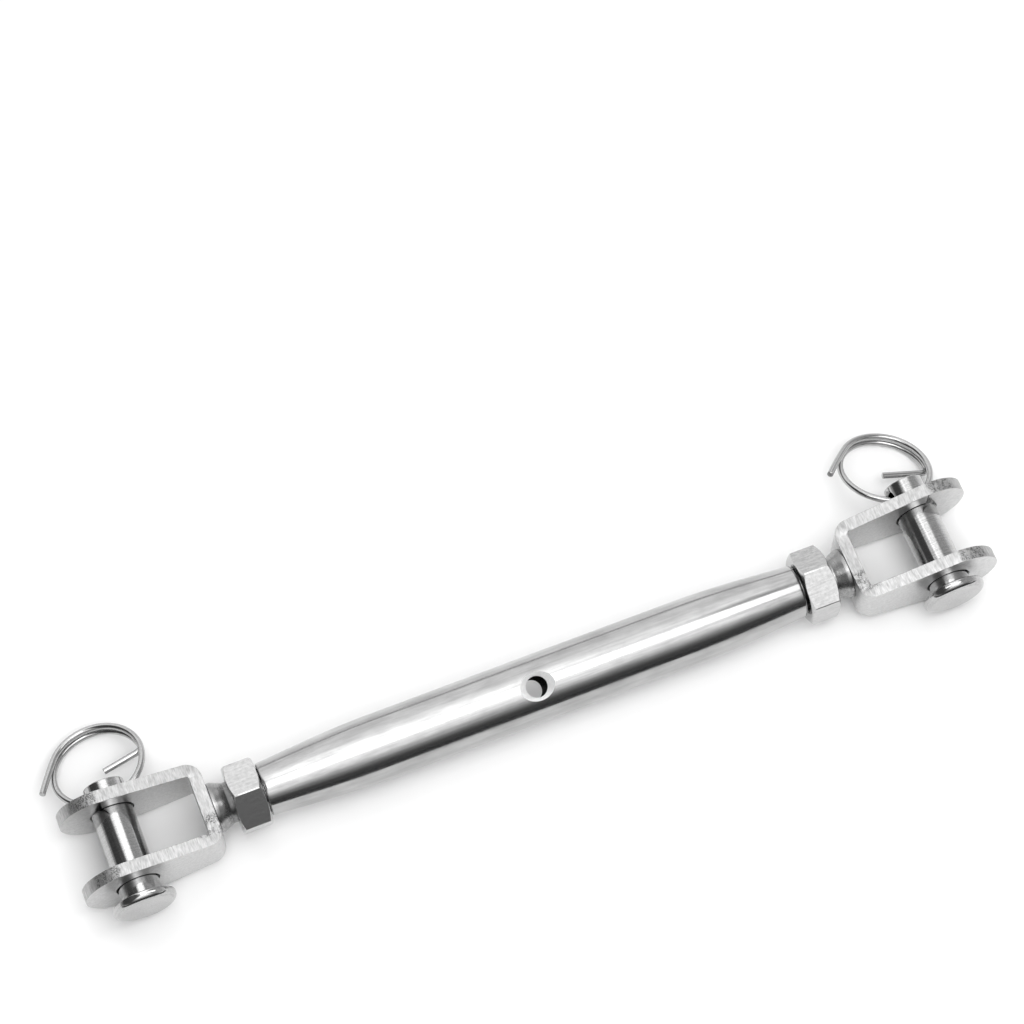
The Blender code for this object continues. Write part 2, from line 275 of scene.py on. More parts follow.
def tip_patches_and_painted_reflection(nodes, links):
    """Where the cut edges get dark specks: patches near the ear tips, and painted dark reflection on one
    base corner.
    """
    coord = nodes.new("ShaderNodeTexCoord")
    split = nodes.new("ShaderNodeSeparateXYZ")
    links.new(coord.outputs["Object"], split.inputs[0])
    from_middle = blend(nodes, links, "SUBTRACT", split.outputs["X"], AXIS.x * MM)
    reach = blend(nodes, links, "ABSOLUTE", from_middle)
    tips = band(nodes, links, reach, PIN_X + TIP_DARK_PATCH[0], TIP_DARK_PATCH[1])
    # The base corner's patch is painted dark reflection.
    base = band(nodes, links, reach, PIN_X - JAW_DEPTH - BASE_PAINTED_REFLECTION[0], BASE_PAINTED_REFLECTION[1])
    corner = band(nodes, links, split.outputs["Y"], AXIS.y + CORNER_PAINTED_REFLECTION[0], CORNER_PAINTED_REFLECTION[1])
    return blend(nodes, links, "MAXIMUM", tips, blend(nodes, links, "MULTIPLY", base, corner))


def steel(name, tone, rough, streaks, pits, lift, specks=None, metal=1.0):
    """Bare stainless steel.

    tone and rough are (low, high); streaks and pits are the coordinate scales
    of the working marks and of the mottling; lift is the height of the marks
    in metres; specks adds dark speckled patches, near the ear tips and, as a
    painted dark reflection, on one base corner: (coordinate scale of the specks, depth).
    """
    mat, nodes, links = new_material(name)
    shader = nodes["Principled BSDF"]
    shader.inputs["Metallic"].default_value = metal
    marks = stretched_noise(nodes, links, streaks, MARK_DETAIL)
    mottle = stretched_noise(nodes, links, pits, MOTTLE_DETAIL)
    height = blend(nodes, links, "MULTIPLY", blend(nodes, links, "ADD", marks, mottle), 0.5)
    grey = ramp(nodes, links, height, zip(TONE_SPAN, tone))
    dull = ramp(nodes, links, height, zip(ROUGH_SPAN, reversed(rough)))
    if specks:
        # Dark specks: patches near the ear tips, and painted dark reflection on one base corner.
        speck_size, depth = specks
        patch = tip_patches_and_painted_reflection(nodes, links)
        ragged = stretched_noise(nodes, links, (RAG_SIZE,) * 3, PATCH_DETAIL)
        rag = ramp(nodes, links, ragged, zip(RAG_SPAN, (0.0, 1.0)))
        speck = stretched_noise(nodes, links, (speck_size,) * 3, PATCH_DETAIL)
        dots = ramp(nodes, links, speck, zip(DOT_SPAN, (1.0, 0.0)))
        spots = blend(nodes, links, "MULTIPLY", blend(nodes, links, "MULTIPLY", patch, rag), dots)
        kept = blend(nodes, links, "SUBTRACT", 1.0, blend(nodes, links, "MULTIPLY", spots, depth))
        grey = blend(nodes, links, "MULTIPLY", grey, kept)
        height = blend(nodes, links, "SUBTRACT", height, spots)
    links.new(grey, shader.inputs["Base Color"])
    links.new(dull, shader.inputs["Roughness"])
    bump = nodes.new("ShaderNodeBump")
    bump.inputs["Strength"].default_value = 1.0
    bump.inputs["Distance"].default_value = lift
    links.new(height, bump.inputs["Height"])
    links.new(bump.outputs["Normal"], shader.inputs["Normal"])
    return mat


TUBE_STEEL = steel(
    "tube_polish", (0.35, 0.49), (0.09, 0.25), (45.0, 1300.0, 1300.0), (160.0, 420.0, 420.0), 1.8e-6
)
# The hole's sunk edge: a pale, partly matte copy of the steel, a painted highlight that stands in for the
# light the countersink reflects.
SUNK_PAINTED_HIGHLIGHT = steel(
    "hole_chamfer_painted_highlight",
    (0.8, 0.95),
    (0.4, 0.5),
    (3000.0, 3000.0, 3000.0),
    (5200.0, 5200.0, 5200.0),
    2e-6,
    metal=0.55,
)
FACE_STEEL = steel(
    "plate_face", (0.54, 0.67), (0.30, 0.44), (1500.0, 1500.0, 1500.0), (5200.0, 5200.0, 5200.0), 5e-6
)
# Cut edges, with dark specks near the ear tips and a painted dark reflection on one base corner.
EDGE_STEEL = steel(
    "plate_cut_edge",
    (0.36, 0.57),
    (0.36, 0.56),
    (2800.0, 450.0, 2800.0),
    (4200.0, 900.0, 4200.0),
    1.6e-5,
    (4200.0, 0.65),
)
TURNED_STEEL = steel(
    "turned_bar", (0.24, 0.36), (0.22, 0.36), (7000.0, 60.0, 60.0), (1500.0, 1500.0, 1500.0), 4e-6
)
NUT_STEEL = steel(
    "hexagon_bar", (0.46, 0.60), (0.12, 0.24), (300.0, 2600.0, 2600.0), (1500.0, 1500.0, 1500.0), 6e-6
)
PIN_STEEL = steel(
    "pin_polish", (0.38, 0.56), (0.05, 0.16), (160.0, 5200.0, 160.0), (3200.0, 3200.0, 3200.0), 3e-6
)
WIRE_STEEL = steel(
    "spring_wire", (0.38, 0.48), (0.07, 0.14), (2600.0, 2600.0, 2600.0), (6000.0, 6000.0, 6000.0), 1e-6
)


# ------------------------------------------------------------------ meshes


def link_mesh(name, bm, mats):
    """Put a finished mesh, in metres, in the scene."""
    mesh = bpy.data.meshes.new(name)
    bm.to_mesh(mesh)
    bm.free()
    for mat in mats:
        mesh.materials.append(mat)
    item = bpy.data.objects.new(name, mesh)
    bpy.context.scene.collection.objects.link(item)
    return item


def make_object(name, bm, mats):
    """Put a closed mesh, given in millimetres, in the scene."""
    for vert in bm.verts:
        vert.co = vert.co * MM
    bmesh.ops.recalc_face_normals(bm, faces=bm.faces)
    return link_mesh(name, bm, mats)


def smooth(mesh):
    """Smooth shading, with the true edges kept sharp."""
    mesh.shade_smooth()
    mesh.set_sharp_from_angle(angle=SHARP)


def settle(item):
    """Turn the modified shape into the object's own mesh."""
    bpy.context.view_layer.update()
    graph = bpy.context.evaluated_depsgraph_get()
    done = bpy.data.meshes.new_from_object(item.evaluated_get(graph))
    item.modifiers.clear()
    item.data = done
    done.name = item.name
    return item


def boolean(item, tools, operation):
    """Cut or keep the shape with each tool in turn; the tools are used up."""
    for tool in tools:
        step = item.modifiers.new("cut", "BOOLEAN")
        step.operation = operation
        step.solver = "EXACT"
        step.object = tool
    settle(item)
    for tool in tools:
        bpy.data.objects.remove(tool, do_unlink=True)
    return item


def tidy_faces(item):
    """Merge the slivers that cutting leaves on flat faces."""
    bm = bmesh.new()
    bm.from_mesh(item.data)
    bmesh.ops.remove_doubles(bm, verts=bm.verts, dist=MERGE * MM)
    bmesh.ops.dissolve_limit(
        bm, angle_limit=SAME_PLANE, verts=bm.verts, edges=bm.edges, delimit={"MATERIAL"}
    )
    bm.to_mesh(item.data)
    bm.free()


def soften(item, width, limit):
    """Round the edges that are sharper than a limit, and keep the flats flat."""
    step = item.modifiers.new("edge", "BEVEL")
    step.width = width * MM
    step.segments = EDGE_SEGMENTS
    step.limit_method = "ANGLE"
    step.angle_limit = limit
    step.use_clamp_overlap = True
    settle(item)
    smooth(item.data)
    step = item.modifiers.new("flats", "WEIGHTED_NORMAL")
    step.mode = "FACE_AREA"
    step.weight = FLAT_WEIGHT
    step.keep_sharp = True
    settle(item)
    return item


def skin(bm, rings):
    """Join closed rings of matching points in order."""
    for first, second in zip(rings, rings[1:]):
        for k in range(len(first)):
            n = (k + 1) % len(first)
            bm.faces.new((first[k], second[k], second[n], first[n]))


def revolve(profile, steps, direction, centre):
    """Turn an (along, radius) outline about an axis through a point."""
    bm = bmesh.new()
    origin = Vector(centre)
    along = Vector(direction)
    side = along.orthogonal().normalized()
    other = along.cross(side)
    rings = []
    for dist, radius in profile:
        spot = origin + along * dist
        if radius < TINY:
            rings.append([bm.verts.new(spot)])
            continue
        ring = []
        for k in range(steps):
            turn = 2.0 * math.pi * k / steps
            spoke = side * math.cos(turn) + other * math.sin(turn)
            ring.append(bm.verts.new(spot + spoke * radius))
        rings.append(ring)
    pairs = list(zip(rings, rings[1:]))
    if len(rings[0]) > 1:
        pairs.append((rings[-1], rings[0]))
    for first, second in pairs:
        for k in range(steps):
            n = (k + 1) % steps
            if len(first) == 1:
                bm.faces.new((first[0], second[k], second[n]))
            elif len(second) == 1:
                bm.faces.new((first[k], second[0], first[n]))
            else:
                bm.faces.new((first[k], second[k], second[n], first[n]))
    return bm


def arc(centre_along, centre_r, radius, start, end, steps):
    """Outline points of a round corner, angles from the axis direction."""
    points = []
    for k in range(steps + 1):
        turn = start + (end - start) * k / steps
        points.append((centre_along + radius * math.cos(turn), centre_r + radius * math.sin(turn)))
    return points


def crossing_hole(radius, body_radius, sink):
    """Outline of a hole through a round body, with both ends sunk."""
    reach = body_radius + TOOL_REACH
    neck = body_radius - sink
    flare = radius + sink + TOOL_REACH
    return [
        (-reach, 0.0),
        (-reach, flare),
        (-neck, radius),
        (neck, radius),
        (reach, flare),
        (reach, 0.0),
    ]


def swage_radius(from_end):
    """Radius of the drawn-down part of the tube."""
    ease = math.sin(math.pi / 2.0 * from_end / SWAGE_LEN) ** SWAGE_EASE
    return TUBE_END_R + (TUBE_R - TUBE_END_R) * ease


def build_tube():
    half = []
    round_c = (-TUBE_HALF + END_ROUND, TUBE_END_R - END_ROUND)
    half.extend(arc(round_c[0], round_c[1], END_ROUND, math.pi, END_ARC, END_ARC_STEPS))
    for k in range(1, SWAGE_STEPS + 1):
        dist = SWAGE_LEN * k / SWAGE_STEPS
        half.append((-TUBE_HALF + dist, swage_radius(dist)))
    outline = half + [(-d, r) for d, r in reversed(half)]
    outline.append((TUBE_HALF, THREAD_BORE_R + END_ROUND))
    outline.append((TUBE_HALF - END_ROUND, THREAD_BORE_R))
    outline.append((BORE_STEP[1], THREAD_BORE_R))
    outline.append((BORE_STEP[0], TUBE_BORE_R))
    outline.append((-BORE_STEP[0], TUBE_BORE_R))
    outline.append((-BORE_STEP[1], THREAD_BORE_R))
    outline.append((-TUBE_HALF + END_ROUND, THREAD_BORE_R))
    outline.append((-TUBE_HALF, THREAD_BORE_R + END_ROUND))
    item = make_object("tube_body", revolve(outline, ROUND_STEPS, (1.0, 0.0, 0.0), AXIS), [TUBE_STEEL])
    across = Vector((0.0, math.cos(TOMMY_ANGLE), math.sin(TOMMY_ANGLE)))
    hole = revolve(crossing_hole(TOMMY_R, TUBE_R, TOMMY_SINK), HOLE_STEPS, across, AXIS)
    tool = make_object("tool", hole, [TUBE_STEEL])
    boolean(item, [tool], "DIFFERENCE")
    # The sunk edge of the hole takes the painted-highlight material.
    item.data.materials.append(SUNK_PAINTED_HIGHLIGHT)
    for face in item.data.polygons:
        from_axis = face.center / MM - AXIS
        out = from_axis.dot(across)
        near = (from_axis - across * out).length < TOMMY_R + TOMMY_SINK
        tilt = abs(face.normal.dot(across))
        if near and abs(out) > TUBE_BORE_R and SUNK_TILT[0] < tilt < SUNK_TILT[1]:
            face.material_index = 1
    smooth(item.data)
    return item


def tip_arc_end():
    """Angle at which the ear's round end runs into its straight side."""
    run = JAW_DEPTH + STRAP_T + EAR_TIP_SHIFT
    return math.atan2(BASE_HALF, run) + math.acos(EAR_HALF / math.hypot(run, BASE_HALF))


def tip_point(turn):
    """Distance from the pin and half height on the ear's round end."""
    return EAR_HALF * math.cos(turn) - EAR_TIP_SHIFT, EAR_HALF * math.sin(turn)


def taper_half(a):
    """Half height of the strap on its straight taper to the base."""
    start, top = tip_point(tip_arc_end())
    end = JAW_DEPTH + STRAP_T
    return top + (BASE_HALF - top) * (a - start) / (end - start)


def strap_stations():
    """Matching outer and inner points of one ear, tip first, to mid base."""
    slope = math.tan(EAR_SPLAY)
    rows = [(-EAR_HALF - EAR_TIP_SHIFT, 0.0)]
    for k in range(1, TIP_STEPS + 1):
        rows.append(tip_point(math.pi + (tip_arc_end() - math.pi) * k / TIP_STEPS))
    stations = []
    for a, half in rows:
        inner = JAW_GAP / 2.0 + slope * (JAW_DEPTH - a)
        stations.append(((a, inner + STRAP_T), (a, inner), half))
    out_c = (JAW_DEPTH + STRAP_T - OUTER_BEND, JAW_GAP / 2.0 + STRAP_T - OUTER_BEND)
    in_c = (JAW_DEPTH - INNER_BEND, JAW_GAP / 2.0 - INNER_BEND)
    for k in range(BEND_STEPS + 1):
        turn = math.pi / 2.0 * (1.0 - k / BEND_STEPS)
        cos_t = math.cos(turn)
        sin_t = math.sin(turn)
        outer = (out_c[0] + OUTER_BEND * cos_t, out_c[1] + OUTER_BEND * sin_t)
        inner = (in_c[0] + INNER_BEND * cos_t, in_c[1] + INNER_BEND * sin_t)
        stations.append((outer, inner, taper_half(outer[0])))
    return stations


def strap_solid(path, place):
    """Skin a bent strip; its two broad faces get slot 0, its cut edges slot 1."""
    bm = bmesh.new()
    rows = []
    for outer, inner, half in path:
        if half < TINY:
            rows.append([bm.verts.new(place(outer, 0.0)), bm.verts.new(place(inner, 0.0))])
            continue
        corners = ((outer, half), (outer, -half), (inner, -half), (inner, half))
        rows.append([bm.verts.new(place(point, z)) for point, z in corners])
    for first, second in zip(rows, rows[1:]):
        if len(first) == 2:
            first = [first[0], first[0], first[1], first[1]]
        if len(second) == 2:
            second = [second[0], second[0], second[1], second[1]]
        for k in range(4):
            n = (k + 1) % 4
            loop = dict.fromkeys((first[k], second[k], second[n], first[n]))
            if len(loop) > 2:
                face = bm.faces.new(list(loop))
                face.material_index = k % 2
    return bm


def build_strap(name, side):
    one_ear = strap_stations()
    path = list(one_ear)
    for outer, inner, half in reversed(one_ear):
        path.append(((outer[0], -outer[1]), (inner[0], -inner[1]), half))
    pin_x = AXIS.x + side * PIN_X

    def place(point, z):
        return Vector((pin_x - side * point[0], AXIS.y + point[1], AXIS.z + z))

    origin = (pin_x, AXIS.y, AXIS.z)
    item = make_object(name, strap_solid(path, place), [FACE_STEEL, EDGE_STEEL])
    far = JAW_GAP + STRAP_T
    drill = [(-far, 0.0), (-far, PIN_HOLE_R), (far, PIN_HOLE_R), (far, 0.0)]
    pin_tool = revolve(drill, PIN_STEPS, (0.0, 1.0, 0.0), origin)
    base = (pin_x - side * (JAW_DEPTH + STRAP_T / 2.0), AXIS.y, AXIS.z)
    drill = [(-STRAP_T, 0.0), (-STRAP_T, SPIGOT_HOLE_R), (STRAP_T, SPIGOT_HOLE_R), (STRAP_T, 0.0)]
    spigot_tool = revolve(drill, HOLE_STEPS, (1.0, 0.0, 0.0), base)
    tools = [
        make_object("tool", pin_tool, [TURNED_STEEL]),
        make_object("tool", spigot_tool, [TURNED_STEEL]),
    ]
    boolean(item, tools, "DIFFERENCE")
    tidy_faces(item)
    return soften(item, STRAP_EDGE, STRAP_EDGE_FROM)


def thread_rows(bm, start, end, hand, place):
    """A screw thread as a grid sheared along the helix, fading out at both ends."""
    count = int((end - start + THREAD_PITCH) / (THREAD_PITCH / THREAD_ROW)) + THREAD_ROW
    rows = []
    for m in range(count + 1):
        ring = []
        for j in range(THREAD_TURN_STEPS):
            part = j / THREAD_TURN_STEPS
            along = start - THREAD_PITCH + THREAD_PITCH * (m / THREAD_ROW + part)
            depth = THREAD_DEPTH * THREAD_FORM[m % THREAD_ROW]
            held = min(max(along, start), end)
            fade = min((held - start) / THREAD_PITCH, (end - held) / THREAD_PITCH, 1.0)
            radius = STUD_R - depth * max(fade, 0.0)
            turn = 2.0 * math.pi * part * hand
            ring.append(bm.verts.new(place(held, radius, turn)))
        rows.append(ring)
    for m, (first, second) in enumerate(zip(rows, rows[1:])):
        for j in range(THREAD_TURN_STEPS):
            if j + 1 < THREAD_TURN_STEPS:
                bm.faces.new((first[j], second[j], second[j + 1], first[j + 1]))
            elif m + 1 + THREAD_ROW < len(rows):
                bm.faces.new((first[j], second[j], rows[m + 1 + THREAD_ROW][0], rows[m + THREAD_ROW][0]))


def build_stud(name, side):
    """The stud of one end, with its thread.

    place() already mirrors the right end. Taking the side as the hand too makes
    both threads left-handed, where the left stud's should be right-handed.
    """
    pin_x = AXIS.x + side * PIN_X

    def place(dist, radius, turn):
        y = AXIS.y + radius * math.cos(turn)
        z = AXIS.z + radius * math.sin(turn)
        return Vector((pin_x - side * dist, y, z))

    def ring_at(dist, radius):
        ring = []
        for j in range(THREAD_TURN_STEPS):
            turn = 2.0 * math.pi * j / THREAD_TURN_STEPS * side
            ring.append(bm.verts.new(place(dist, radius, turn)))
        return ring

    seat = JAW_DEPTH + STRAP_T
    shoulder = seat + STUD_GAP
    tip = PIN_X - STUD_INNER_END
    thread_end = tip - STUD_CHAMFER
    outline = [(JAW_DEPTH + past, SPIGOT_R - short) for past, short in SPIGOT_END]
    outline.append((seat, SPIGOT_R))
    outline.append((shoulder, SHOULDER_R - SHOULDER_ROUND))
    outline.append((shoulder + SHOULDER_ROUND, SHOULDER_R))
    outline.append((shoulder + SHOULDER_LEN, SHOULDER_R))
    for k in range(1, FLARE_STEPS + 1):
        turn = math.pi / 2.0 * k / FLARE_STEPS
        dist = shoulder + SHOULDER_LEN + FLARE_LEN * math.sin(turn)
        outline.append((dist, STUD_R + (SHOULDER_R - STUD_R) * (1.0 - math.sin(turn))))
    bm = bmesh.new()
    neck = [ring_at(dist, radius) for dist, radius in outline]
    start = bm.verts.new(place(outline[0][0], 0.0, 0.0))
    thread_rows(bm, THREAD_FROM, thread_end, side, place)
    neck.append(ring_at(THREAD_FROM, STUD_R))
    tail = [ring_at(thread_end, STUD_R), ring_at(tip, STUD_R - STUD_CHAMFER)]
    end = bm.verts.new(place(tip, 0.0, 0.0))
    skin(bm, neck)
    skin(bm, tail)
    for hub, rim in ((start, neck[0]), (end, tail[-1])):
        for k in range(THREAD_TURN_STEPS):
            bm.faces.new((hub, rim[k], rim[(k + 1) % THREAD_TURN_STEPS]))
    bmesh.ops.remove_doubles(bm, verts=bm.verts, dist=MERGE)
    slivers = [face for face in bm.faces if face.calc_area() < SLIVER]
    bmesh.ops.delete(bm, geom=slivers, context="FACES")
    item = make_object(name, bm, [TURNED_STEEL])
    smooth(item.data)
    return item


def build_nut(name, side, turn):
    """A hexagon with rounded corners, kept where a chamfered round overlaps it."""
    centre_x = AXIS.x + side * (PIN_X - NUT_OUTER - NUT_THICK / 2.0)
    centre = Vector((centre_x, AXIS.y, AXIS.z))
    corner = NUT_FLATS / 2.0 / math.cos(math.pi / 6.0)
    inset = corner - NUT_EDGE / math.cos(math.pi / 6.0)
    half = NUT_THICK / 2.0
    prism = bmesh.new()
    ends = []
    for dist in (-half, half):
        ring = []
        for k in range(6):
            phi = turn + math.pi / 3.0 * k
            hub = Vector((dist, inset * math.cos(phi), inset * math.sin(phi)))
            for m in range(NUT_EDGE_STEPS + 1):
                lean = phi + math.pi / 3.0 * (m / NUT_EDGE_STEPS - 0.5)
                spoke = Vector((0.0, NUT_EDGE * math.cos(lean), NUT_EDGE * math.sin(lean)))
                ring.append(prism.verts.new(centre + hub + spoke))
        ends.append(ring)
    skin(prism, ends)
    prism.faces.new(ends[0])
    prism.faces.new(ends[1])
    item = make_object(name, prism, [NUT_STEEL])
    face_r = NUT_FLATS / 2.0 - NUT_FACE_INSET
    wide = corner + TOOL_REACH
    run = (wide - face_r) * math.tan(NUT_CHAMFER)
    outline = [
        (-half + NUT_SINK, NUT_BORE_R),
        (-half, NUT_BORE_R + NUT_SINK),
        (-half, face_r),
        (-half + run, wide),
        (half - run, wide),
        (half, face_r),
        (half, NUT_BORE_R + NUT_SINK),
        (half - NUT_SINK, NUT_BORE_R),
    ]
    shell = revolve(outline, ROUND_STEPS, (1.0, 0.0, 0.0), centre)
    tool = make_object("tool", shell, [TURNED_STEEL])
    boolean(item, [tool], "INTERSECT")
    tidy_faces(item)
    return soften(item, NUT_RIM, NUT_RIM_FROM)


def build_pin(name, side, label):
    """A headed pin as long as its CAD node, with the ring's hole across it."""
    low, high = (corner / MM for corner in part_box(label + "_clevis_pin"))
    pin_x = AXIS.x + side * PIN_X
    front = low.y
    end_y = high.y
    outline = [(front, 0.0)]
    quarter = math.pi / 2.0
    outline += arc(front + HEAD_ROUND, HEAD_R - HEAD_ROUND, HEAD_ROUND, math.pi, quarter, HEAD_ROUND_STEPS)
    back = front + HEAD_T
    outline += arc(back - HEAD_EDGE, HEAD_R - HEAD_EDGE, HEAD_EDGE, quarter, 0.0, HEAD_EDGE_STEPS)
    outline.append((back, PIN_R + HEAD_FILLET))
    outline.append((back + HEAD_FILLET, PIN_R))
    shank_end = end_y - PIN_END_ROUND
    outline += arc(shank_end, PIN_R - PIN_END_ROUND, PIN_END_ROUND, quarter, 0.0, PIN_END_STEPS)
    outline.append((end_y, 0.0))
    centre = Vector((pin_x, 0.0, AXIS.z))
    item = make_object(name, revolve(outline, PIN_STEPS, (0.0, 1.0, 0.0), centre), [PIN_STEEL])
    hole = crossing_hole(RING_HOLE_R, PIN_R, RING_HOLE_SINK)
    at = Vector((pin_x, end_y - RING_HOLE_FROM_END, AXIS.z))
    across = (math.cos(PIN_SPIN[label]), 0.0, math.sin(PIN_SPIN[label]))
    tool = make_object("tool", revolve(hole, HOLE_STEPS, across, at), [TURNED_STEEL])
    boolean(item, [tool], "DIFFERENCE")
    smooth(item.data)
    return item


def ring_path(turn, leg_end, tail_len):
    """Points (u, v, n) of the wire centre in the plane of the ring."""
    hole = 1.5 * math.pi - turn

    def on_coil(phi):
        return Vector((RING_R * math.cos(phi), RING_R * math.sin(phi)))

    def lifted(spot, phi):
        return Vector((spot.x, spot.y, COIL_PITCH * (phi - hole) / (2.0 * math.pi)))

    corner = on_coil(0.0)
    leg = Vector(leg_end)
    toward = (leg - corner).normalized()
    leave = corner + toward * LEG_BEND
    meet = on_coil(LEG_BEND_END)
    points = [lifted(leg, 0.0), lifted(leg + (leave - leg) * 0.5, 0.0)]
    for k in range(LEG_BEND_STEPS + 1):
        t = k / LEG_BEND_STEPS
        spot = leave * (1.0 - t) ** 2 + corner * 2.0 * t * (1.0 - t) + meet * t * t
        points.append(lifted(spot, LEG_BEND_END * t))
    count = round((TAIL_START - LEG_BEND_END) / COIL_STEP)
    for k in range(1, count + 1):
        phi = LEG_BEND_END + (TAIL_START - LEG_BEND_END) * k / count
        points.append(lifted(on_coil(phi), phi))
    last = on_coil(TAIL_START)
    inward = -last.normalized()
    heading = Vector((inward.y, -inward.x))
    for k in range(1, TAIL_STEPS + 1):
        run = tail_len * k / TAIL_STEPS
        curl = TAIL_CURL * run * run / (2.0 * RING_R)
        points.append(lifted(last + heading * run + inward * curl, TAIL_START))
    rolled = []
    for u, v, n in points:
        ru = u * math.cos(turn) - v * math.sin(turn)
        rv = u * math.sin(turn) + v * math.cos(turn)
        rolled.append(Vector((ru, rv, n)))
    return rolled


def sweep(points, radius, steps):
    """A round wire with cropped, slightly dulled ends along a smooth path."""
    bm = bmesh.new()
    rings = []
    normal = Vector((0.0, 0.0, 1.0))
    lead = (points[1] - points[0]).normalized() * WIRE_CROP
    trail = (points[-1] - points[-2]).normalized() * WIRE_CROP
    stations = [(points[0], radius - WIRE_CROP), (points[0] + lead, radius)]
    stations += [(point, radius) for point in points[1:-1]]
    stations += [(points[-1] - trail, radius), (points[-1], radius - WIRE_CROP)]
    for k, (point, size) in enumerate(stations):
        before = stations[max(k - 1, 0)][0]
        after = stations[min(k + 1, len(stations) - 1)][0]
        tangent = (after - before).normalized()
        normal = (normal - tangent * normal.dot(tangent)).normalized()
        side = tangent.cross(normal)
        ring = []
        for m in range(steps):
            turn = 2.0 * math.pi * (m + 0.5) / steps
            spoke = normal * math.cos(turn) + side * math.sin(turn)
            ring.append(bm.verts.new(point + spoke * size))
        rings.append(ring)
    skin(bm, rings)
    bm.faces.new(rings[0])
    bm.faces.new(rings[-1])
    return bm


def build_ring(name, side, label):
    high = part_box(label + "_clevis_pin")[1] / MM
    hole = Vector((AXIS.x + side * PIN_X, high.y - RING_HOLE_FROM_END, AXIS.z))
    spin = PIN_SPIN[label]
    tilt = RING_TILT[label]
    across = Vector((math.cos(spin), 0.0, math.sin(spin)))
    raised = Vector((-math.sin(spin), 0.0, math.cos(spin)))
    outward = Vector((0.0, math.cos(tilt), 0.0)) + raised * math.sin(tilt)
    upward = across.cross(outward)
    path = []
    for spot in ring_path(RING_TURN[label], LEG_END[label], TAIL_LEN[label]):
        place = hole + across * (spot.x + RING_SLIDE[label]) + outward * (spot.y + RING_R - RING_SAG)
        path.append(place + upward * spot.z)
    item = make_object(name, sweep(path, WIRE_R, WIRE_STEPS), [WIRE_STEEL])
    smooth(item.data)
    return item


def stand_for(item, node, body):
    """Let a piece ride on its body in place of a CAD node."""
    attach(item, body)
    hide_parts(node)


stand_for(build_tube(), "barrel", "barrel")
for label, side in SIDES:
    strap = build_strap(label + "_strap", side)
    stand_for(strap, label + "_jaw_strap", label + "_fork")
    stud = build_stud(label + "_threaded_stud", side)
    stand_for(stud, label + "_stud", label + "_fork")
    nut = build_nut(label + "_nut", side, NUT_TURN[label])
    stand_for(nut, label + "_lock_nut", label + "_nut")
    pin = build_pin(label + "_pin", side, label)
    stand_for(pin, label + "_clevis_pin", label + "_pin")
    ring = build_ring(label + "_ring", side, label)
    stand_for(ring, label + "_cotter_ring", label + "_ring")


# ------------------------------------------------------- floor, light, camera

FLOOR_SIZE = 6.0
FLOOR_TONE = 0.9
FLOOR_ROUGH = 0.7
FLOOR_GLOSS = 0.2

# The tent's brightness by the steepness of the direction, towards the back,
# the front, the right and the left: (degrees above the horizon, radiance).
BACK = (
    (-90, 1.0),
    (-1, 0.9),
    (1, 0.3),
    (4, 0.3),
    (7, 0.97),
    (19, 0.95),
    (29, 0.97),
    (39, 1.05),
    (49, 1.16),
    (59, 1.3),
    (90, 1.7),
)
FRONT = (
    (-90, 0.9),
    (-14, 0.6),
    (-2, 0.07),
    (18, 0.07),
    (30, 0.26),
    (41, 0.64),
    (51, 1.15),
    (58, 1.42),
    (90, 1.7),
)
RIGHT = (
    (-90, 1.0),
    (-2, 0.9),
    (8, 0.6),
    (20, 0.42),
    (50, 0.38),
    (62, 0.3),
    (73, 0.33),
    (82, 0.6),
    (90, 1.7),
)
LEFT = (
    (-90, 1.0),
    (-3, 0.8),
    (5, 0.35),
    (17, 0.06),
    (40, 0.06),
    (50, 0.09),
    (68, 0.09),
    (80, 0.42),
    (90, 1.7),
)
TENT_LEVEL = 1.3
# A colour stop holds up to 1, so the walls' radiance is stored divided by this.
STOP_SCALE = 2.0
# Where the end walls give way to the back and front walls: the squared share
# of the level direction that runs along Y, at the start and at the end.
LEFT_TURN = (0.45, 0.85)
RIGHT_TURN = (0.30, 0.65)

# Lights: name, size, place, radiance, seen in gloss.
LIGHTS = (
    ("softbox", (0.30, 0.11), (0.050, -0.028, 0.27), 2.5, True),
    ("back_softbox", (0.15, 0.05), (-0.025, 0.085, 0.27), 0.8, True),
    ("back_softbox_edge", (0.15, 0.08), (-0.025, 0.095, 0.27), 0.6, True),
    ("fill", (1.0, 1.0), (0.0, -0.5, 0.7), 1.2, False),
)
# The fill faces this point; the softboxes face straight down.
AIM = Vector((0.0, 0.0, 0.0))
# A dark card in front that only shows in reflections.
FLAG_HALF = 0.25
FLAG_Y = -0.085
FLAG_TOP = 0.02
FLAG_TONE = 0.03


def pale_floor():
    bm = bmesh.new()
    bmesh.ops.create_grid(bm, x_segments=1, y_segments=1, size=FLOOR_SIZE / 2.0)
    mat, nodes, _ = new_material("pale_floor")
    shader = nodes["Principled BSDF"]
    shader.inputs["Base Color"].default_value = (FLOOR_TONE, FLOOR_TONE, FLOOR_TONE, 1.0)
    shader.inputs["Roughness"].default_value = FLOOR_ROUGH
    shader.inputs["Specular IOR Level"].default_value = FLOOR_GLOSS
    link_mesh("floor", bm, [mat])


def dark_flag():
    """The dark card; it shows only in reflections."""
    bm = bmesh.new()
    corners = ((-FLAG_HALF, 0.0), (FLAG_HALF, 0.0), (FLAG_HALF, FLAG_TOP), (-FLAG_HALF, FLAG_TOP))
    bm.faces.new([bm.verts.new((x, FLAG_Y, z)) for x, z in corners])
    mat, nodes, _ = new_material("flag_cloth")
    shader = nodes["Principled BSDF"]
    shader.inputs["Base Color"].default_value = (FLAG_TONE, FLAG_TONE, FLAG_TONE, 1.0)
    shader.inputs["Roughness"].default_value = 1.0
    item = link_mesh("flag", bm, [mat])
    item.visible_camera = False
    item.visible_diffuse = False
    item.visible_shadow = False


